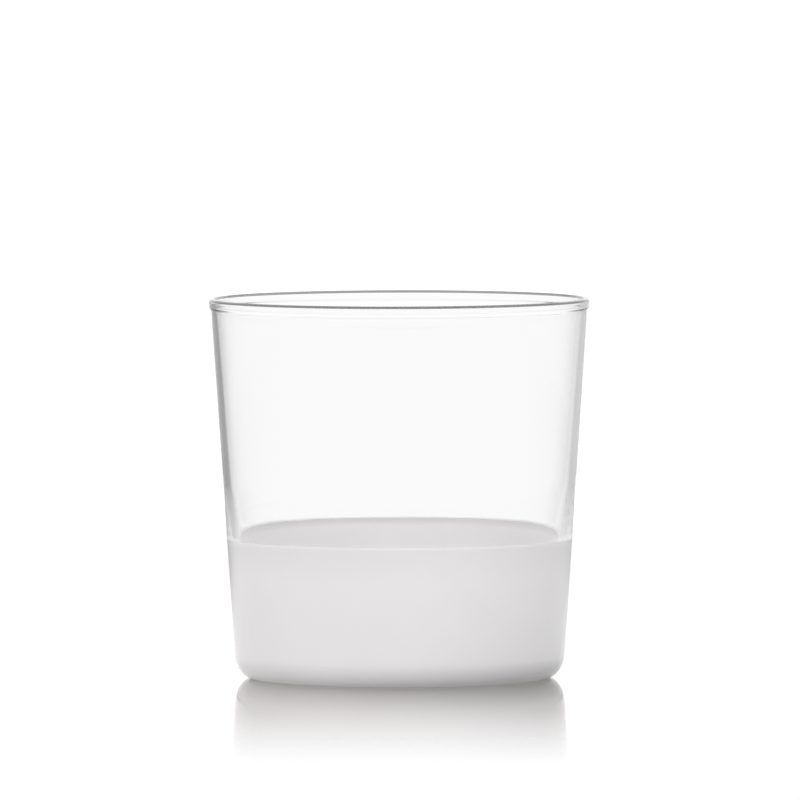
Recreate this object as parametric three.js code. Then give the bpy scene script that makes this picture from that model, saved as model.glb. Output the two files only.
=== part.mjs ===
// A tapered water glass: a clear upper wall welded in the flame to a white opal cup.
// Millimetres, +Z up. The origin is the centre of the foot, on the table plane.
import * as THREE from 'three';

// Overall sizes
const HEIGHT = 87.6; // table to the top of the rim
const MOUTH_DIAMETER = 87.3; // outside of the straight wall, carried up to the rim
const BASE_DIAMETER = 75.4; // outside of the straight wall, carried down to the table

// Clear upper wall
const CLEAR_WALL = 1.7; // where it begins to thicken towards the weld
const NECK_WALL = 1.25; // just below the rim's bead
const RIM_THICKNESS = 1.6; // fire-polished rim, across its bead
const RIM_OVERHANG = 0.35; // how far the bead stands outside the straight wall
const RIM_HEIGHT = 1.8; // depth from the top of the rim to the lower end of its bead
const RIM_NECK = 2.8; // depth from the top of the rim at which the bead has run out into the wall

// Weld between the two glasses
const WELD_MIDDLE = 31.6; // height of the weld's middle above the table
const WELD_HEIGHT = 1.2;
const WELD_WALL = 2.6; // both glasses thicken to this at the weld
const WELD_SWELL = 0.05; // how far the weld stands proud, outside and inside
const CLEAR_RUN = 13; // height over which the clear wall thickens to the weld
const CLEAR_BEND = 9.8; // height above the weld where that thickening bends out
const CUP_RUN = 8; // depth over which the white wall thins again below the weld

// White cup
const CUP_WALL = 2;
const FLOOR = 3.2; // table to the inside floor
const HEEL_WIDTH = 4.1; // outside corner between the wall and the foot, along the table
const HEEL_HEIGHT = 6.2; // the same corner, up the wall
const INNER_HEEL_RADIUS = 3.6; // inside corner between the wall and the floor
const FOOT_RING = 5; // width of the flat ring that the glass stands on
const PUSH_UP = 0.8; // hollow under the middle of the foot

// Facets
const FACETS = 72; // round the axis
const CURVE_STEPS = 5; // along each curved stretch of an outline

const taper = (MOUTH_DIAMETER - BASE_DIAMETER) / 2 / HEIGHT; // outward run for each millimetre up
const weldBase = WELD_MIDDLE - WELD_HEIGHT / 2;
const weldTop = WELD_MIDDLE + WELD_HEIGHT / 2;

// Radius of the straight outside wall at a height above the table.
function wallRadius(z) {
  return BASE_DIAMETER / 2 + taper * z;
}

// Adds an S-shaped stretch to an outline that leaves and arrives along the slope of the wall.
function easeAlongWall(outline, r, z) {
  const from = outline.currentPoint;
  const half = (z - from.y) / 2;
  outline.bezierCurveTo(from.x + taper * half, from.y + half, r - taper * half, z - half, r, z);
}

// Round corner, part of an ellipse, that touches a flat floor and a wall that leans outward by the
// taper: the ellipse's centre, and the angle on it at which it meets the wall.
// wallAtFloor is the wall's radius at the floor's height.
function corner(floor, wallAtFloor, width, height) {
  const wallAngle = -Math.atan((taper * height) / width);
  const rise = height * (1 + Math.sin(wallAngle));
  return {
    r: wallAtFloor + taper * rise - width * Math.cos(wallAngle),
    z: floor + height,
    wallAngle,
  };
}

// Turns a closed outline of radius and height round the axis, as a named piece standing at a height.
function turned(name, outline, standsAt, material) {
  const points = outline.getPoints(CURVE_STEPS).map((p) => new THREE.Vector2(p.x, p.y - standsAt));
  const geometry = new THREE.LatheGeometry(points, FACETS);
  geometry.rotateX(Math.PI / 2); // the lathe turns about Y
  const piece = new THREE.Mesh(geometry, material);
  piece.name = name;
  piece.position.z = standsAt;
  return piece;
}

// Clear conical wall with its fire-polished rim. Its lower end face is welded.
function clearWall() {
  const bead = RIM_THICKNESS / 2;
  const beadCentre = wallRadius(HEIGHT) + RIM_OVERHANG - bead;
  const beadTop = HEIGHT - bead;
  const beadEnd = HEIGHT - RIM_HEIGHT;
  const neck = HEIGHT - RIM_NECK;
  const runTop = weldTop + CLEAR_RUN;
  const bend = weldTop + CLEAR_BEND;

  const outline = new THREE.Path();
  outline.moveTo(wallRadius(weldTop), weldTop);
  outline.lineTo(wallRadius(neck), neck);
  easeAlongWall(outline, beadCentre + bead, beadEnd);
  outline.absarc(beadCentre, beadTop, bead, 0, Math.PI, false);
  outline.lineTo(beadCentre - bead, beadEnd);
  easeAlongWall(outline, wallRadius(neck) - NECK_WALL, neck);
  outline.lineTo(wallRadius(runTop) - CLEAR_WALL, runTop);
  outline.quadraticCurveTo(wallRadius(bend) - CLEAR_WALL, bend, wallRadius(weldTop) - WELD_WALL, weldTop);
  outline.closePath();

  const glass = new THREE.MeshStandardMaterial({
    color: 0xf4f6f6,
    roughness: 0.02,
    metalness: 0,
    transparent: true,
    opacity: 0.3,
  });
  return turned('clear_wall', outline, weldTop, glass);
}

// Ring of glass that flowed together in the flame, a little proud of both walls.
function weldSeam() {
  const outside = wallRadius(WELD_MIDDLE) + 2 * WELD_SWELL;
  const inside = wallRadius(WELD_MIDDLE) - WELD_WALL - 2 * WELD_SWELL;

  const outline = new THREE.Path();
  outline.moveTo(wallRadius(weldBase), weldBase);
  outline.quadraticCurveTo(outside, WELD_MIDDLE, wallRadius(weldTop), weldTop);
  outline.lineTo(wallRadius(weldTop) - WELD_WALL, weldTop);
  outline.quadraticCurveTo(inside, WELD_MIDDLE, wallRadius(weldBase) - WELD_WALL, weldBase);
  outline.closePath();

  const paleWhite = new THREE.MeshStandardMaterial({ color: 0xe9e8e8, roughness: 0.06, metalness: 0 });
  return turned('weld_seam', outline, weldBase, paleWhite);
}

// White cup: wall, rounded heel, and a foot that is hollowed so that it stands on a ring.
function whiteCup() {
  const heel = corner(0, wallRadius(0), HEEL_WIDTH, HEEL_HEIGHT);
  const innerHeel = corner(FLOOR, wallRadius(FLOOR) - CUP_WALL, INNER_HEEL_RADIUS, INNER_HEEL_RADIUS);
  const ringInside = heel.r - FOOT_RING;
  const runBottom = weldBase - CUP_RUN;

  const outline = new THREE.Path();
  outline.moveTo(0, PUSH_UP);
  outline.quadraticCurveTo(ringInside / 2, PUSH_UP, ringInside, 0);
  outline.lineTo(heel.r, 0);
  outline.absellipse(heel.r, heel.z, HEEL_WIDTH, HEEL_HEIGHT, -Math.PI / 2, heel.wallAngle, false);
  outline.lineTo(wallRadius(weldBase), weldBase);
  outline.lineTo(wallRadius(weldBase) - WELD_WALL, weldBase);
  easeAlongWall(outline, wallRadius(runBottom) - CUP_WALL, runBottom);
  outline.absarc(innerHeel.r, innerHeel.z, INNER_HEEL_RADIUS, innerHeel.wallAngle, -Math.PI / 2, true);
  outline.lineTo(0, FLOOR);

  const opal = new THREE.MeshStandardMaterial({ color: 0xe1dfdf, roughness: 0.08, metalness: 0 });
  return turned('white_cup', outline, 0, opal);
}

const waterGlass = new THREE.Group();
waterGlass.name = 'water_glass';
waterGlass.add(whiteCup(), weldSeam(), clearWall());

export default waterGlass;
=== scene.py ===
import math

import bpy
from bpy.props import FloatProperty, FloatVectorProperty, PointerProperty
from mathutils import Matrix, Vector


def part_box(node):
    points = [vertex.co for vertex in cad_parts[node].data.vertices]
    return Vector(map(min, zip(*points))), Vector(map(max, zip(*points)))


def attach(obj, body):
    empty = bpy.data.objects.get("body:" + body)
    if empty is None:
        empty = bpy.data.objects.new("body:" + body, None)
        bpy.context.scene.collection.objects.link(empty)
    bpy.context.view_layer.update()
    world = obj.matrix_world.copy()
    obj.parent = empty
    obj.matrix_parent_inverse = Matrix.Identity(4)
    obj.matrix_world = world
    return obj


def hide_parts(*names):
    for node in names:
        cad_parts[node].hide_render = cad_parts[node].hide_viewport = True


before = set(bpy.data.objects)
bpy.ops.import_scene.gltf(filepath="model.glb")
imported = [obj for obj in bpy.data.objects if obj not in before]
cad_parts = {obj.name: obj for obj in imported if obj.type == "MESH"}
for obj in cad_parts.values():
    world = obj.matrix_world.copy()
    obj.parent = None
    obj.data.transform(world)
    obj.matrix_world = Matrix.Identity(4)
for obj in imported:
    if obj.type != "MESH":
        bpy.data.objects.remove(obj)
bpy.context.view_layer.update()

bl_info = {
    "name": "Water glass",
    "version": (1, 0, 0),
    "blender": (4, 5, 0),
    "location": "3D View > Sidebar > Water glass",
    "description": "Models a tapered water glass: a clear wall welded to a white opal cup",
    "category": "Object",
}

MM = 0.001
CLEAR_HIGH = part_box("clear_wall")[1]
WELD_LOW, WELD_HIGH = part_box("weld_seam")
CUP_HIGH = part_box("white_cup")[1]


# Settings that a user can change


def length(name, description, default):
    """A length in metres."""
    return FloatProperty(name=name, description=description, default=float(default), min=0.0, unit="LENGTH")


def share(name, description, default):
    """A share from none to all."""
    return FloatProperty(
        name=name, description=description, default=default, min=0.0, max=1.0, subtype="FACTOR"
    )


def light_level(name, description, default):
    """A level of light, where 1 shows as white."""
    return FloatProperty(name=name, description=description, default=default, min=0.0, soft_max=2.0)


def colour(name, description, default):
    """A colour as red, green and blue."""
    return FloatVectorProperty(
        name=name, description=description, default=default, size=3, min=0.0, max=1.0, subtype="COLOR"
    )


def direction(name, description, default):
    """A direction: X to the right, Y to the back, Z up."""
    return FloatVectorProperty(name=name, description=description, default=default, subtype="DIRECTION")


class WaterGlassSizes(bpy.types.PropertyGroup):
    """Sizes of the glass, in metres."""

    height: length("Height", "Table to the top of the rim", CLEAR_HIGH[2])
    rim_radius: length("Rim radius", "Axis to the outside of the rim's bead", CLEAR_HIGH[0])
    cup_top_radius: length("Cup top radius", "Axis to the outside of the white cup at the weld", CUP_HIGH[0])
    weld_base: length("Weld base", "Height of the lower edge of the weld", WELD_LOW[2])
    weld_top: length("Weld top", "Height of the upper edge of the weld", WELD_HIGH[2])

    clear_wall: length("Clear wall", "Thickness of the clear wall where it begins to thicken", 1.7 * MM)
    neck_wall: length("Neck wall", "Thickness of the clear wall just below the rim", 1.25 * MM)
    rim_thickness: length("Rim thickness", "Width across the bead of the rim", 1.6 * MM)
    rim_overhang: length("Rim overhang", "How far the bead stands outside the wall", 0.35 * MM)
    rim_height: length("Rim height", "Depth from the top of the rim to the lower end of its bead", 1.8 * MM)
    rim_neck: length("Rim neck", "Depth at which the bead runs out into the wall", 2.8 * MM)

    weld_wall: length("Weld wall", "Thickness of both glasses at the weld", 2.6 * MM)
    weld_swell: length("Weld swell", "How far the weld stands proud of both walls", 0.03 * MM)
    clear_run: length("Clear run", "Height over which the clear wall thickens to the weld", 13 * MM)
    clear_bend: length("Clear bend", "Height above the weld where that thickening bends out", 9.8 * MM)
    cup_run: length("Cup run", "Depth over which the white wall thins below the weld", 8 * MM)

    cup_wall: length("Cup wall", "Thickness of the white wall", 2.0 * MM)
    floor: length("Floor", "Table to the inside floor", 3.2 * MM)
    heel_width: length("Heel width", "Outside corner between wall and foot, along the table", 4.1 * MM)
    heel_height: length("Heel height", "Outside corner between wall and foot, up the wall", 6.2 * MM)
    inner_heel_radius: length("Inner heel radius", "Inside corner between wall and floor", 3.6 * MM)
    foot_ring: length("Foot ring", "Width of the flat ring under the foot", 5 * MM)
    push_up: length("Push-up", "Hollow under the middle of the foot", 0.8 * MM)


class WaterGlassFinishes(bpy.types.PropertyGroup):
    """Colours and finishes of the two glasses."""

    opal: colour("Opal white", "Colour of the white glass", (0.814, 0.80, 0.807))
    # Painted shade: the inside of the cup is greyed, where shade falls inside it.
    opal_inside_shade: share("Opal inside", "How pale the white glass is inside, against its outside", 0.846)
    # Painted shade: the white is greyed just below the weld.
    below_weld_shade: share("Below the weld", "How pale the white is just below the weld, against the rest", 0.957)
    weld: colour("Weld white", "Colour of the white where it thins into the clear", (0.834, 0.820, 0.827))
    # Painted shade: the inside is greyed still more at the weld.
    weld_inside_shade: share("Weld inside", "How pale the inside is at the weld, against the outside", 0.646)
    # Painted light: the weld's upward faces glow, standing in for light that the clear wall leads down on to
    # them.
    weld_painted_glow: light_level("Weld glow", "Light that the clear wall leads down on to the weld", 0.3)
    clear: colour("Clear glass", "Colour of the clear glass", (0.992, 0.990, 0.992))
    # Painted shade: a grey along the crest of the rim stands in for the dark line that the rim shows by
    # refraction and reflection.
    crest: colour("Rim crest", "Grey that gathers along the crest of the rim", (0.05, 0.05, 0.055))
    crest_shade_depth: length("Crest depth", "Depth below the rim to which the grey reaches", 0.63 * MM)
    crest_shade_inside: share("Crest inside", "How strong that grey is on the inner side of the rim", 0.94)
    glass_index: FloatProperty(
        name="Glass index", description="Index of refraction of both glasses", default=1.47, min=1.0, max=2.0
    )


class WaterGlassStage(bpy.types.PropertyGroup):
    """Camera, floor and light round the glass."""

    camera_distance: length("Camera distance", "Level distance of the camera from the axis", 3.5)
    camera_height: length("Camera height", "Height of the camera above the table", 241.6 * MM)
    camera_roll: FloatProperty(
        name="Camera roll", description="Turn of the picture", default=math.radians(-0.12), unit="ROTATION"
    )
    aim_height: length("Aim height", "Height on the axis at the middle of the picture", 64.1 * MM)
    aim_side: length("Aim side", "How far the picture's middle lies to the right of the axis", 0.15 * MM)
    picture_width: length("Picture width", "Width that the picture covers at the axis", 184.5 * MM)

    floor_radius: length("Floor radius", "Radius of the floor under the glass", 0.6)
    floor_white: colour("Floor white", "Colour of the matte floor under the polish", (0.95, 0.95, 0.95))
    floor_mirror: colour("Floor mirror", "Share of light that the polish mirrors", (0.88, 0.868, 0.86))
    floor_light: light_level("Floor light", "Level of the light that the floor throws up on the glass", 0.36)
    floor_tint: colour("Floor tint", "Colour of that light", (1.0, 0.985, 0.965))
    foot_right: share("Foot on the right", "Share of that light close to the foot, on the right", 0.0)

    lamp_level: light_level("Lamp level", "Level of the light from the side of the lamps", 1.80)
    shade_level: light_level("Shade level", "Level of the light from the side away from the lamps", 0.08)
    back_level: light_level("Back level", "Level of the light that is added from behind the glass", 1.0)
    lamp_side: direction("Lamp side", "Way to the lamps", (0.02, -0.80, 0.60))
    back_side: direction("Back side", "Way to the light behind the glass", (-0.35, 0.94, 0.0))
    room_level: light_level("Room level", "Level of the room that is mirrored inside the clear wall", 0.8)
    ceiling_level: light_level("Ceiling level", "Level of the ceiling that shows through the glass", 0.02)
    gap_left: light_level("Gap on the left", "Level of the dim gap left of the backdrop", 0.34)
    gap_right: light_level("Gap on the right", "Level of the dim gap right of the backdrop", 0.58)


# Outlines, as lists of radius and height

SINK = 0.08 * MM  # how far one glass reaches into the next, so that no air is left in the weld
HUB = 12  # the innermost ring of a flat is this many times smaller than the flat

# Number of steps that each stretch of an outline is drawn in
FLARE_STEPS = 12
CLEAR_INSIDE_STEPS = 6
CLEAR_OUTSIDE_STEPS = 8
NECK_STEPS = 5
BEAD_STEPS = 10
WELD_STEPS = 6
HOLLOW_STEPS = 8
HEEL_STEPS = 10
CUP_OUTSIDE_STEPS = 5
CUP_RUN_STEPS = 6
CUP_INSIDE_STEPS = 3
INNER_HEEL_STEPS = 8
CUP_FLOOR_STEPS = 4


def outer_radius(sizes, z):
    """Outside radius of the straight wall at a height."""
    mouth = sizes.rim_radius - sizes.rim_overhang
    taper = (mouth - sizes.cup_top_radius) / (sizes.height - sizes.weld_base)
    return mouth + taper * (z - sizes.height)


def smooth(t):
    """Eases from 0 to 1 with level ends."""
    t = min(max(t, 0.0), 1.0)
    return t * t * (3.0 - 2.0 * t)


def mix(a, b, t):
    """Goes from a to b as t goes from 0 to 1."""
    return a + (b - a) * t


def steps(first, last, count):
    """Evenly spaced values from first to last, both included."""
    return [mix(first, last, i / count) for i in range(count + 1)]


def arc(centre_r, centre_z, width, height, start, end, count):
    """Round stretch of an outline, part of an ellipse."""
    return [
        (centre_r + width * math.cos(a), centre_z + height * math.sin(a)) for a in steps(start, end, count)
    ]


def meets_wall(sizes, width, height):
    """Angle on a round corner at which it meets the leaning wall."""
    taper = (outer_radius(sizes, sizes.height) - outer_radius(sizes, 0.0)) / sizes.height
    return -math.atan(taper * height / width)


def clear_inner_radius(sizes, z):
    """Inside radius of the clear wall above its flare, thinning up to the neck of the rim."""
    run_top = sizes.weld_top + sizes.clear_run
    near_rim = (z - run_top) / (sizes.height - sizes.rim_neck - run_top)
    return outer_radius(sizes, z) - mix(sizes.clear_wall, sizes.neck_wall, max(0.0, near_rim))


def clear_flare(sizes):
    """Inside of the clear wall, from the weld up to where it has thinned out."""
    weld_r = outer_radius(sizes, sizes.weld_top) - sizes.weld_wall
    run_top = sizes.weld_top + sizes.clear_run
    bend_z = sizes.weld_top + sizes.clear_bend
    bend_r = outer_radius(sizes, bend_z) - sizes.clear_wall
    top_r = outer_radius(sizes, run_top) - sizes.clear_wall
    points = []
    for t in steps(0.0, 1.0, FLARE_STEPS):
        r = mix(mix(weld_r, bend_r, t), mix(bend_r, top_r, t), t)
        z = mix(mix(sizes.weld_top, bend_z, t), mix(bend_z, run_top, t), t)
        points.append((r, z))
    return points


def cup_inner_radius(sizes, z):
    """Inside radius of the white wall, which thickens up to the weld."""
    near_weld = 1.0 - (sizes.weld_base - z) / sizes.cup_run
    return outer_radius(sizes, z) - mix(sizes.cup_wall, sizes.weld_wall, smooth(near_weld))


def clear_wall_outline(sizes):
    """Clear wall, up its inside, over the rim and down its outside, and the corners that stay sharp."""
    bead = sizes.rim_thickness / 2
    bead_r = sizes.rim_radius - bead
    bead_z = sizes.height - bead
    bead_end = sizes.height - sizes.rim_height
    neck = sizes.height - sizes.rim_neck
    run_top = sizes.weld_top + sizes.clear_run
    foot_z = sizes.weld_top - SINK

    inside = clear_flare(sizes)
    inside.insert(0, (inside[0][0] + SINK, foot_z))
    inside += [(clear_inner_radius(sizes, z), z) for z in steps(run_top, neck, CLEAR_INSIDE_STEPS)[1:]]
    neck_in = []
    neck_out = []
    for t in steps(0.0, 1.0, NECK_STEPS)[1:-1]:
        z = mix(neck, bead_end, t)
        neck_in.append((mix(clear_inner_radius(sizes, z), bead_r - bead, smooth(t)), z))
        neck_out.append((mix(outer_radius(sizes, z), bead_r + bead, smooth(t)), z))
    rim = [(bead_r - bead, bead_end)]
    rim += arc(bead_r, bead_z, bead, bead, math.pi, 0.0, BEAD_STEPS)
    rim.append((bead_r + bead, bead_end))
    outside = [(outer_radius(sizes, z), z) for z in steps(neck, sizes.weld_top, CLEAR_OUTSIDE_STEPS)]
    outside.append((outer_radius(sizes, foot_z) - SINK, foot_z))
    return inside + neck_in + rim + neck_out[::-1] + outside, inside[:2] + outside[-2:]


def weld_seam_outline(sizes):
    """Weld, up its outside and down its inside, and its four corners."""
    outside = []
    inside = []
    for t in steps(0.0, 1.0, WELD_STEPS):
        z = mix(sizes.weld_base, sizes.weld_top, t)
        swell = sizes.weld_swell * math.sin(math.pi * t) ** 2
        outside.append((outer_radius(sizes, z) + swell, z))
        inside.append((outer_radius(sizes, z) - sizes.weld_wall - swell, z))
    return outside + inside[::-1], [outside[0], outside[-1], inside[0], inside[-1]]


def white_cup_outline(sizes):
    """White cup, from the middle of its foot round to the middle of its floor, and its sharp corners."""
    width = sizes.heel_width
    height = sizes.heel_height
    heel_end = meets_wall(sizes, width, height)
    heel_top = height * (1.0 + math.sin(heel_end))
    heel_r = outer_radius(sizes, heel_top) - width * math.cos(heel_end)
    inner = sizes.inner_heel_radius
    inner_end = meets_wall(sizes, inner, inner)
    inner_top = sizes.floor + inner * (1.0 + math.sin(inner_end))
    inner_r = outer_radius(sizes, inner_top) - sizes.cup_wall - inner * math.cos(inner_end)
    ring_inside = heel_r - sizes.foot_ring
    top_z = sizes.weld_base + SINK
    run_bottom = sizes.weld_base - sizes.cup_run

    foot = []
    for r in steps(ring_inside / HUB, ring_inside, HOLLOW_STEPS):
        hollow = 1.0 - (r / ring_inside) ** 2
        foot.append((r, sizes.push_up * hollow))
    foot.append((mix(ring_inside, heel_r, 0.5), 0.0))
    heel = arc(heel_r, height, width, height, -math.pi / 2, heel_end, HEEL_STEPS)
    outside = [(outer_radius(sizes, z), z) for z in steps(heel_top, sizes.weld_base, CUP_OUTSIDE_STEPS)[1:]]
    top = [(outer_radius(sizes, top_z) - SINK, top_z), (cup_inner_radius(sizes, top_z) + SINK, top_z)]
    inner_heel = arc(inner_r, sizes.floor + inner, inner, inner, inner_end, -math.pi / 2, INNER_HEEL_STEPS)
    heights = steps(sizes.weld_base, run_bottom, CUP_RUN_STEPS)
    heights += steps(run_bottom, inner_heel[0][1], CUP_INSIDE_STEPS)[1:-1]
    inside = [(cup_inner_radius(sizes, z), z) for z in heights]
    floor = [(r, sizes.floor) for r in steps(inner_r, inner_r / HUB, CUP_FLOOR_STEPS)[1:]]
    return foot + heel + outside + top + inside + inner_heel + floor, [outside[-1], *top, inside[0]]


# Modelling

RING_POINTS = 96  # round the axis
ROUNDING_LEVELS = 2  # subdivision of a finished piece
SMOOTH_ANGLE = math.radians(25)  # edges that turn by more than this stay sharp


def start_ring(name, radius, z):
    """Adds a ring of edges round the axis and leaves it selected in edit mode."""
    bpy.ops.object.select_all(action="DESELECT")
    bpy.ops.mesh.primitive_circle_add(
        vertices=RING_POINTS, radius=radius, fill_type="NOTHING", location=(0.0, 0.0, z)
    )
    piece = bpy.context.object
    piece.name = name
    piece.data.name = name
    bpy.ops.object.transform_apply(location=True, rotation=False, scale=False)
    bpy.ops.object.mode_set(mode="EDIT")
    bpy.ops.mesh.select_all(action="SELECT")
    return piece


def draw_out(outline, corners):
    """Extrudes the selected ring through an outline and keeps the outline's corners sharp."""
    for (r_from, z_from), (r_to, z_to) in zip(outline, outline[1:]):
        if (r_from, z_from) in corners:
            bpy.ops.transform.edge_crease(value=1.0)
        bpy.ops.mesh.extrude_region_move(TRANSFORM_OT_translate={"value": (0.0, 0.0, z_to - z_from)})
        grow = r_to / r_from
        bpy.ops.transform.resize(value=(grow, grow, 1.0), center_override=(0.0, 0.0, z_to))
    if outline[-1] in corners:
        bpy.ops.transform.edge_crease(value=1.0)


def join_ends():
    """Bridges the first and the last ring of a drawn-out outline."""
    bpy.ops.mesh.select_all(action="DESELECT")
    bpy.ops.mesh.select_mode(type="EDGE")
    bpy.ops.mesh.select_non_manifold(
        extend=False,
        use_wire=False,
        use_boundary=True,
        use_multi_face=False,
        use_non_contiguous=False,
        use_verts=False,
    )
    bpy.ops.mesh.bridge_edge_loops()


def fill_ends():
    """Closes the first and the last ring of a drawn-out outline, each with a face."""
    bpy.ops.mesh.select_all(action="SELECT")
    bpy.ops.mesh.fill_holes(sides=0)


def finish_piece(piece, node, material):
    """Turns the faces out, smooths the mesh and puts the piece in the place of its CAD node."""
    bpy.ops.mesh.select_all(action="SELECT")
    bpy.ops.mesh.normals_make_consistent(inside=False)
    bpy.ops.object.mode_set(mode="OBJECT")
    subdivision = piece.modifiers.new("Round", "SUBSURF")
    subdivision.levels = ROUNDING_LEVELS
    subdivision.render_levels = ROUNDING_LEVELS
    bpy.ops.object.modifier_apply(modifier=subdivision.name)
    bpy.ops.object.shade_smooth_by_angle(angle=SMOOTH_ANGLE)
    piece.data.materials.append(material)
    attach(piece, "root")
    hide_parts(node)


# Nodes


def feed(tree, value, socket):
    """Links another node's output to a socket, or sets the socket to a constant."""
    if isinstance(value, bpy.types.NodeSocket):
        tree.links.new(value, socket)
    else:
        socket.default_value = value


def math_node(tree, operation, first, second, clamp=False):
    """Sum, product or the like of two numbers."""
    node = tree.nodes.new("ShaderNodeMath")
    node.operation = operation
    node.use_clamp = clamp
    feed(tree, first, node.inputs[0])
    feed(tree, second, node.inputs[1])
    return node.outputs["Value"]


def vector_node(tree, operation, first, second=(0.0, 0.0, 0.0)):
    """Product, length or the like of one or two vectors."""
    node = tree.nodes.new("ShaderNodeVectorMath")
    node.operation = operation
    feed(tree, first, node.inputs[0])
    feed(tree, second, node.inputs[1])
    gives_number = operation in ("LENGTH", "DOT_PRODUCT")
    return node.outputs["Value" if gives_number else "Vector"]


def split_node(tree, vector):
    """The X, Y and Z of a vector."""
    node = tree.nodes.new("ShaderNodeSeparateXYZ")
    feed(tree, vector, node.inputs["Vector"])
    return node.outputs


def map_node(tree, value, from_range, to_range, kind="LINEAR"):
    """Carries a number from one range over to another, and keeps inside it."""
    node = tree.nodes.new("ShaderNodeMapRange")
    node.interpolation_type = kind
    node.inputs["From Min"].default_value, node.inputs["From Max"].default_value = from_range
    node.inputs["To Min"].default_value, node.inputs["To Max"].default_value = to_range
    feed(tree, value, node.inputs["Value"])
    return node.outputs["Result"]


def mix_node(tree, factor, first, second, kind="FLOAT"):
    """Blends two numbers or two colours."""
    node = tree.nodes.new("ShaderNodeMix")
    node.data_type = kind
    feed(tree, factor, node.inputs["Factor"])
    feed(tree, first, node.inputs["A"])
    feed(tree, second, node.inputs["B"])
    return node.outputs["Result"]


def mix_shaders(tree, factor, first, second):
    """Blends two shaders."""
    node = tree.nodes.new("ShaderNodeMixShader")
    for value, socket in zip((factor, first, second), node.inputs):
        feed(tree, value, socket)
    return node.outputs["Shader"]


def glow_shader(tree, strength, tint=(1.0, 1.0, 1.0)):
    """Light of one colour."""
    node = tree.nodes.new("ShaderNodeEmission")
    node.inputs["Color"].default_value = (*tint, 1.0)
    feed(tree, strength, node.inputs["Strength"])
    return node.outputs["Emission"]


def coordinates(tree, kind):
    """Place of the point that is shaded, or its normal."""
    return tree.nodes.new("ShaderNodeTexCoord").outputs[kind]


def off_axis(tree, place):
    """Level arrow from the axis to a place."""
    return vector_node(tree, "MULTIPLY", place, (1.0, 1.0, 0.0))


def new_material(name):
    """A node material with only its output and one Principled shader."""
    material = bpy.data.materials.new(name)
    material.use_nodes = True
    return material, material.node_tree, material.node_tree.nodes["Principled BSDF"]


# Clear glass

CREST_FULL = 0.8  # share of the crest's depth at which its grey has come in fully


def crest_painted_shade(tree, finishes, sizes):
    """Strength of the grey painted shade along the crest of the rim, a little weaker on its inner side."""
    place = coordinates(tree, "Object")
    crest = (sizes.height - finishes.crest_shade_depth, sizes.height - CREST_FULL * finishes.crest_shade_depth)
    on_crest = map_node(tree, split_node(tree, place)["Z"], crest, (0.0, 1.0), "SMOOTHSTEP")
    radius = vector_node(tree, "LENGTH", off_axis(tree, place))
    rim_middle = sizes.rim_radius - sizes.rim_thickness / 2
    across = (rim_middle - sizes.rim_thickness / 4, rim_middle + sizes.rim_thickness / 4)
    outer_side = map_node(tree, radius, across, (finishes.crest_shade_inside, 1.0))
    return math_node(tree, "MULTIPLY", on_crest, outer_side)


def clear_glass_material(finishes, sizes):
    """Clear glass with a grey painted shade along the crest of the melted rim."""
    material, tree, shader = new_material("clear_glass")
    # painted shade: grey along the crest of the rim
    grey = crest_painted_shade(tree, finishes, sizes)
    tint = mix_node(tree, grey, (*finishes.clear, 1.0), (*finishes.crest, 1.0), "RGBA")
    feed(tree, tint, shader.inputs["Base Color"])
    shader.inputs["Roughness"].default_value = 0.0
    shader.inputs["IOR"].default_value = finishes.glass_index
    shader.inputs["Transmission Weight"].default_value = 1.0
    return material


# White glass

NOISE_SPAN = (0.3, 0.7)  # nearly all of the noise lies between these
CLOUD_SCALE = 32.0
CLOUD_DETAIL = 3.0
CLOUD_SHADES = (0.98, 1.02)
GLOSS_SCALE = 160.0
GLOSS_DETAIL = 2.0
GLOSS_ROUGHNESS = (0.06, 0.11)
WALL_FACING = (-0.3, 0.3)  # from a normal that points to the axis to one that points away from it
GLOW_FACING = (0.8, 0.95)  # upward part of a normal, where the glow begins and where it is full


def noise_node(tree, place, scale, detail, to_range):
    """Soft noise over the object, carried over to a range."""
    node = tree.nodes.new("ShaderNodeTexNoise")
    node.inputs["Scale"].default_value = scale
    node.inputs["Detail"].default_value = detail
    feed(tree, place, node.inputs["Vector"])
    return map_node(tree, node.outputs[0], NOISE_SPAN, to_range)


def faces_axis(tree, place):
    """1 on walls that face the axis, 0 on walls that face away from it."""
    outward = vector_node(tree, "NORMALIZE", off_axis(tree, place))
    facing = vector_node(tree, "DOT_PRODUCT", outward, coordinates(tree, "Normal"))
    return map_node(tree, facing, WALL_FACING, (1.0, 0.0))


def opal_cloud_and_painted_shade(tree, place, finishes, sizes):
    """How pale the white glass is: clouded, with painted shade that makes it greyer inside and greyer
    towards the weld.
    """
    height = split_node(tree, place)["Z"]
    weld_height = sizes.weld_top - sizes.weld_base
    rise = (sizes.weld_base - weld_height, sizes.weld_top)
    # painted shade: greyer inside the cup, most of all at the weld
    shades = (finishes.opal_inside_shade, finishes.weld_inside_shade)
    inside = map_node(tree, height, rise, shades, "SMOOTHSTEP")
    paleness = mix_node(tree, faces_axis(tree, place), 1.0, inside)
    cloud = noise_node(tree, place, CLOUD_SCALE, CLOUD_DETAIL, CLOUD_SHADES)
    paleness = math_node(tree, "MULTIPLY", paleness, cloud)
    # painted shade: greyer just below the weld
    thickened = (sizes.weld_base - sizes.cup_run, sizes.weld_base)
    painted_weld_shade = map_node(tree, height, thickened, (1.0, finishes.below_weld_shade), "SMOOTHSTEP")
    return math_node(tree, "MULTIPLY", paleness, painted_weld_shade)


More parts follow.
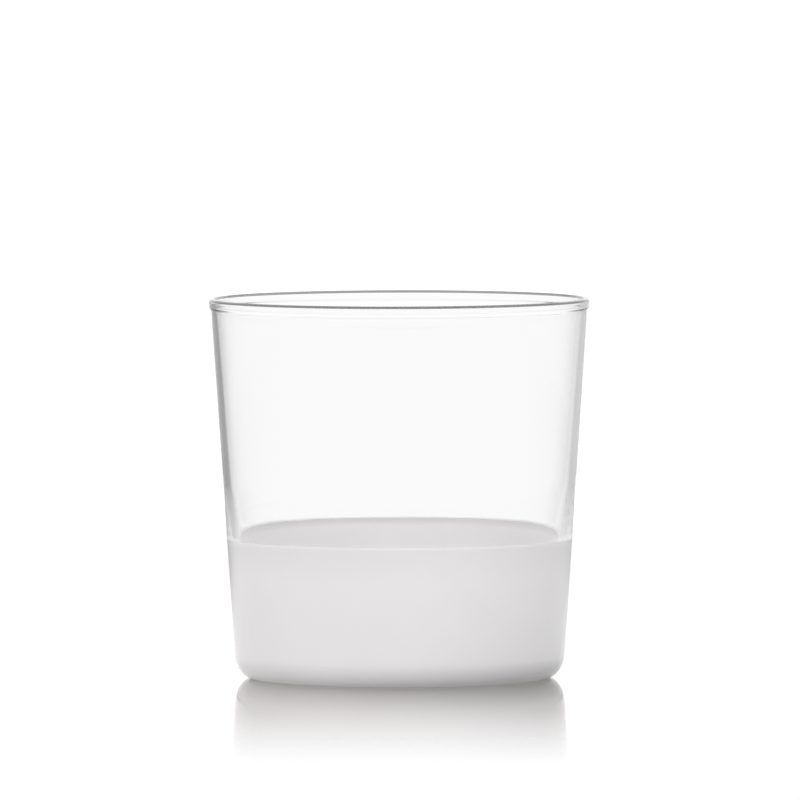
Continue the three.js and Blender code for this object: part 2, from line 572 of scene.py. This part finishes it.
def opal_material(name, tint, finishes, sizes, painted_top_glow=0.0):
    """White opal glass: shiny, with a painted glow on faces that look up."""
    material, tree, shader = new_material(name)
    place = coordinates(tree, "Object")
    shade = tree.nodes.new("ShaderNodeVectorMath")
    shade.operation = "SCALE"
    shade.inputs[0].default_value = tint
    feed(tree, opal_cloud_and_painted_shade(tree, place, finishes, sizes), shade.inputs["Scale"])
    feed(tree, shade.outputs["Vector"], shader.inputs["Base Color"])
    gloss = noise_node(tree, place, GLOSS_SCALE, GLOSS_DETAIL, GLOSS_ROUGHNESS)
    feed(tree, gloss, shader.inputs["Roughness"])
    shader.inputs["IOR"].default_value = finishes.glass_index
    # painted light: faces that look up glow
    upward = split_node(tree, coordinates(tree, "Normal"))["Z"]
    painted_glow = map_node(tree, upward, GLOW_FACING, (0.0, painted_top_glow))
    feed(tree, painted_glow, shader.inputs["Emission Strength"])
    return material


# Pieces


class WATERGLASS_OT_clear_wall(bpy.types.Operator):
    """Models the clear conical wall with its fire-polished rim"""

    bl_idname = "water_glass.clear_wall"
    bl_label = "Clear wall"

    def execute(self, context):
        sizes = context.scene.water_glass_sizes
        outline, corners = clear_wall_outline(sizes)
        piece = start_ring("clear_wall_glass", *outline[0])
        draw_out(outline, corners)
        join_ends()
        material = clear_glass_material(context.scene.water_glass_finishes, sizes)
        finish_piece(piece, "clear_wall", material)
        return {"FINISHED"}


class WATERGLASS_OT_weld_seam(bpy.types.Operator):
    """Models the ring of glass that flowed together at the weld"""

    bl_idname = "water_glass.weld_seam"
    bl_label = "Weld seam"

    def execute(self, context):
        sizes = context.scene.water_glass_sizes
        finishes = context.scene.water_glass_finishes
        outline, corners = weld_seam_outline(sizes)
        piece = start_ring("weld_seam_glass", *outline[0])
        draw_out(outline, corners)
        join_ends()
        material = opal_material("weld_opal", finishes.weld, finishes, sizes, finishes.weld_painted_glow)
        finish_piece(piece, "weld_seam", material)
        return {"FINISHED"}


class WATERGLASS_OT_white_cup(bpy.types.Operator):
    """Models the white opal cup: hollowed foot, rounded heel, wall and inside floor"""

    bl_idname = "water_glass.white_cup"
    bl_label = "White cup"

    def execute(self, context):
        sizes = context.scene.water_glass_sizes
        finishes = context.scene.water_glass_finishes
        outline, corners = white_cup_outline(sizes)
        piece = start_ring("white_cup_glass", *outline[0])
        draw_out(outline, corners)
        fill_ends()
        material = opal_material("white_opal", finishes.opal, finishes, sizes)
        finish_piece(piece, "white_cup", material)
        return {"FINISHED"}


# Stage

SENSOR_WIDTH = 36.0  # millimetres
CLIP_END = 100.0  # metres
FLOOR_POINTS = 128  # round the edge of the floor
LIGHT_BOUNCES = 24  # enough for light that turns many times inside the clear wall

# Parts of a line of sight's direction: X to the right, Y to the back, Z up
GAP_ACROSS = (-0.3, 0.3)  # X, from the gap on the left to the gap on the right
GAP_BACK = (0.6, 0.92)  # Y, from the room to the dim gap
BACKDROP_BACK = (0.97, 0.994)  # Y, from the dim gap to the backdrop
CEILING_RISE = (0.45, 0.85)  # Z, from the backdrop to the ceiling
LEVEL_RISE = 0.01  # Z under which a direction counts as level or downward

HALF_BOUNCE = 0.5  # tells no bounce from one
BACK_FACING = (0.3, 0.9)  # how far a direction turns to the back, where its light begins and is full

# Places on the floor: distances from the axis, and one place to the right of it
DIM_ACROSS = (-15 * MM, 50 * MM)  # the floor's light falls off towards the right between these
DIM_BEGIN = (32 * MM, 40 * MM)  # distance over which that falling off comes in, from under the heel
DIM_END = (40 * MM, 110 * MM)  # distance over which it goes out again
WHITE_BEGIN = (100 * MM, 450 * MM)  # distance over which the matte floor turns to plain white
WHITE_SHARES = (0.6, 1.0)  # share of plain white near the glass and far from it
MIRROR_END = (110 * MM, 300 * MM)  # distance over which the mirror image fades

MIRROR_POWER = 3.0  # how fast the mirror grows as the view gets lower
MIRROR_GAIN = 1.2
MIRROR_ROUGHNESS = 0.02


def put_camera(stage):
    """Sets the camera at the picture's viewing angle."""
    bpy.ops.object.camera_add(location=(stage.aim_side, -stage.camera_distance, stage.camera_height))
    camera = bpy.context.object
    aim = Vector((stage.aim_side, 0.0, stage.aim_height))
    sight = aim - camera.location
    camera.rotation_euler = sight.to_track_quat("-Z", "Y").to_euler()
    camera.rotation_euler.rotate_axis("Z", stage.camera_roll)
    camera.data.sensor_fit = "HORIZONTAL"
    camera.data.sensor_width = SENSOR_WIDTH
    camera.data.lens = SENSOR_WIDTH * sight.length / stage.picture_width
    camera.data.clip_end = CLIP_END
    bpy.context.scene.camera = camera


def put_floor(stage):
    """Lays a round floor under the glass."""
    bpy.ops.object.select_all(action="DESELECT")
    bpy.ops.mesh.primitive_circle_add(vertices=FLOOR_POINTS, radius=stage.floor_radius, fill_type="NGON")
    floor = bpy.context.object
    floor.name = "floor"
    floor.data.materials.append(floor_material(stage))


def sight_paths(tree, towards, stage):
    """What a line of sight tells of its way: whether it shows in the picture, whether it went through
    glass, whether it was mirrored, and the level of white that it meets. Where it turned back in or on
    the glass, it meets the backdrop, the dim gap beside the backdrop, or the room."""
    path = tree.nodes.new("ShaderNodeLightPath").outputs
    direct = math_node(tree, "MAXIMUM", path["Is Camera Ray"], path["Is Glossy Ray"])
    direct = math_node(tree, "MAXIMUM", direct, path["Is Transmission Ray"])
    unscattered = math_node(tree, "LESS_THAN", path["Diffuse Depth"], HALF_BOUNCE)
    seen = math_node(tree, "MULTIPLY", direct, unscattered)
    through_glass = math_node(tree, "MINIMUM", path["Transmission Depth"], 1.0)
    mirrored = math_node(tree, "MINIMUM", path["Glossy Depth"], 1.0)
    parts = split_node(tree, towards)
    level_or_down = math_node(tree, "LESS_THAN", parts["Z"], LEVEL_RISE)
    off_glass = math_node(tree, "MAXIMUM", through_glass, level_or_down)
    off_glass = math_node(tree, "MULTIPLY", off_glass, mirrored)
    gap = map_node(tree, parts["X"], GAP_ACROSS, (stage.gap_left, stage.gap_right))
    in_gap = map_node(tree, parts["Y"], GAP_BACK, (0.0, 1.0), "SMOOTHSTEP")
    on_backdrop = map_node(tree, parts["Y"], BACKDROP_BACK, (0.0, 1.0), "SMOOTHSTEP")
    surroundings = mix_node(tree, in_gap, stage.room_level, gap)
    surroundings = mix_node(tree, on_backdrop, surroundings, 1.0)
    level = mix_node(tree, off_glass, 1.0, surroundings)
    return seen, through_glass, mirrored, level


def floor_dimming(tree, place, distance, stage):
    """Share of its light that the floor keeps, which falls off on the right, round the foot."""
    at_foot = map_node(tree, split_node(tree, place)["X"], DIM_ACROSS, (1.0, stage.foot_right))
    near_foot = map_node(tree, distance, DIM_END, (1.0, 0.0))
    clear_of_heel = map_node(tree, distance, DIM_BEGIN, (0.0, 1.0))
    return mix_node(tree, math_node(tree, "MULTIPLY", near_foot, clear_of_heel), 1.0, at_foot)


def matte_floor(tree, distance, seen, through_glass, level, stage):
    """Matte floor with the glass's shadow, which turns to plain white far off and behind glass."""
    matte = tree.nodes.new("ShaderNodeBsdfDiffuse")
    matte.inputs["Color"].default_value = (*stage.floor_white, 1.0)
    plain = map_node(tree, distance, WHITE_BEGIN, WHITE_SHARES, "SMOOTHSTEP")
    plain = math_node(tree, "MAXIMUM", plain, through_glass)
    plain = math_node(tree, "MULTIPLY", plain, seen)
    return mix_shaders(tree, plain, matte.outputs["BSDF"], glow_shader(tree, level))


def polished_floor(tree, distance, through_glass, ground, stage):
    """Polish over the floor that mirrors the glass in a low view, close to the foot."""
    polish = tree.nodes.new("ShaderNodeBsdfGlossy")
    polish.inputs["Color"].default_value = (*stage.floor_mirror, 1.0)
    polish.inputs["Roughness"].default_value = MIRROR_ROUGHNESS
    facing = tree.nodes.new("ShaderNodeLayerWeight").outputs["Facing"]
    low_view = math_node(tree, "POWER", facing, MIRROR_POWER)
    low_view = math_node(tree, "MULTIPLY", low_view, MIRROR_GAIN, clamp=True)
    near = map_node(tree, distance, MIRROR_END, (1.0, 0.0))
    near = mix_node(tree, through_glass, near, 0.0)
    strength = math_node(tree, "MULTIPLY", low_view, near)
    return mix_shaders(tree, strength, ground, polish.outputs["BSDF"])


def floor_material(stage):
    """Pale polished floor in the picture, and a soft light from below on the glass."""
    material, tree, shader = new_material("pale_floor")
    tree.nodes.remove(shader)
    place = coordinates(tree, "Object")
    distance = vector_node(tree, "LENGTH", place)
    towards = vector_node(tree, "NORMALIZE", place)
    seen, through_glass, mirrored, level = sight_paths(tree, towards, stage)
    dimming = floor_dimming(tree, place, distance, stage)
    level = math_node(tree, "MULTIPLY", level, mix_node(tree, mirrored, 1.0, dimming))
    shown = matte_floor(tree, distance, seen, through_glass, level, stage)
    shown = polished_floor(tree, distance, through_glass, shown, stage)
    uplight = math_node(tree, "MULTIPLY", dimming, stage.floor_light)
    surface = mix_shaders(tree, seen, glow_shader(tree, uplight, stage.floor_tint), shown)
    feed(tree, surface, tree.nodes["Material Output"].inputs["Surface"])
    return material


def studio_world(stage):
    """White backdrop in the picture, and a soft studio light on the glass."""
    world = bpy.data.worlds.new("studio")
    world.use_nodes = True
    bpy.context.scene.world = world
    tree = world.node_tree
    background = tree.nodes["Background"]

    towards = coordinates(tree, "Generated")
    seen, through_glass, _, level = sight_paths(tree, towards, stage)
    ceiling_levels = (1.0, stage.ceiling_level)
    ceiling = map_node(tree, split_node(tree, towards)["Z"], CEILING_RISE, ceiling_levels, "SMOOTHSTEP")
    white_in_floor = 1.0 / min(stage.floor_mirror)  # makes up for what the floor's mirror takes away
    ceiling = mix_node(tree, through_glass, white_in_floor, ceiling)
    shown = math_node(tree, "MULTIPLY", level, ceiling)

    to_lamps = vector_node(tree, "DOT_PRODUCT", towards, Vector(stage.lamp_side).normalized())
    lit = map_node(tree, to_lamps, (-1.0, 1.0), (stage.shade_level, stage.lamp_level))
    to_back = vector_node(tree, "DOT_PRODUCT", towards, Vector(stage.back_side).normalized())
    behind = map_node(tree, to_back, BACK_FACING, (0.0, stage.back_level), "SMOOTHSTEP")
    lit = math_node(tree, "ADD", lit, behind)
    feed(tree, mix_node(tree, seen, lit, shown), background.inputs["Strength"])
    background.inputs["Color"].default_value = (1.0, 1.0, 1.0, 1.0)


class WATERGLASS_OT_stage(bpy.types.Operator):
    """Sets the camera, the pale floor and the soft studio light"""

    bl_idname = "water_glass.stage"
    bl_label = "Stage"

    def execute(self, context):
        stage = context.scene.water_glass_stage
        put_camera(stage)
        put_floor(stage)
        studio_world(stage)
        context.scene.view_settings.view_transform = "Standard"
        cycles = context.scene.cycles
        cycles.blur_glossy = 0.0
        cycles.max_bounces = LIGHT_BOUNCES
        cycles.glossy_bounces = LIGHT_BOUNCES
        cycles.transmission_bounces = LIGHT_BOUNCES
        return {"FINISHED"}


# Add-on


class WATERGLASS_PT_panel(bpy.types.Panel):
    """Lists the pieces of the glass and what can be changed on them"""

    bl_label = "Water glass"
    bl_space_type = "VIEW_3D"
    bl_region_type = "UI"
    bl_category = "Water glass"

    def draw(self, context):
        for operator in OPERATORS:
            self.layout.operator(operator.bl_idname)
        for group_name in GROUPS:
            group = getattr(context.scene, group_name)
            box = self.layout.box()
            for setting in group.bl_rna.properties.keys():
                if setting not in ("rna_type", "name"):
                    box.prop(group, setting)


OPERATORS = (
    WATERGLASS_OT_white_cup,
    WATERGLASS_OT_weld_seam,
    WATERGLASS_OT_clear_wall,
    WATERGLASS_OT_stage,
)
GROUPS = {
    "water_glass_sizes": WaterGlassSizes,
    "water_glass_finishes": WaterGlassFinishes,
    "water_glass_stage": WaterGlassStage,
}


def register():
    for cls in (*GROUPS.values(), *OPERATORS, WATERGLASS_PT_panel):
        bpy.utils.register_class(cls)
    for name, cls in GROUPS.items():
        setattr(bpy.types.Scene, name, PointerProperty(type=cls))


def unregister():
    for name in GROUPS:
        delattr(bpy.types.Scene, name)
    for cls in (WATERGLASS_PT_panel, *reversed(OPERATORS), *GROUPS.values()):
        bpy.utils.unregister_class(cls)


def main():
    register()
    bpy.ops.water_glass.white_cup()
    bpy.ops.water_glass.weld_seam()
    bpy.ops.water_glass.clear_wall()
    bpy.ops.water_glass.stage()


if __name__ == "__main__":
    main()
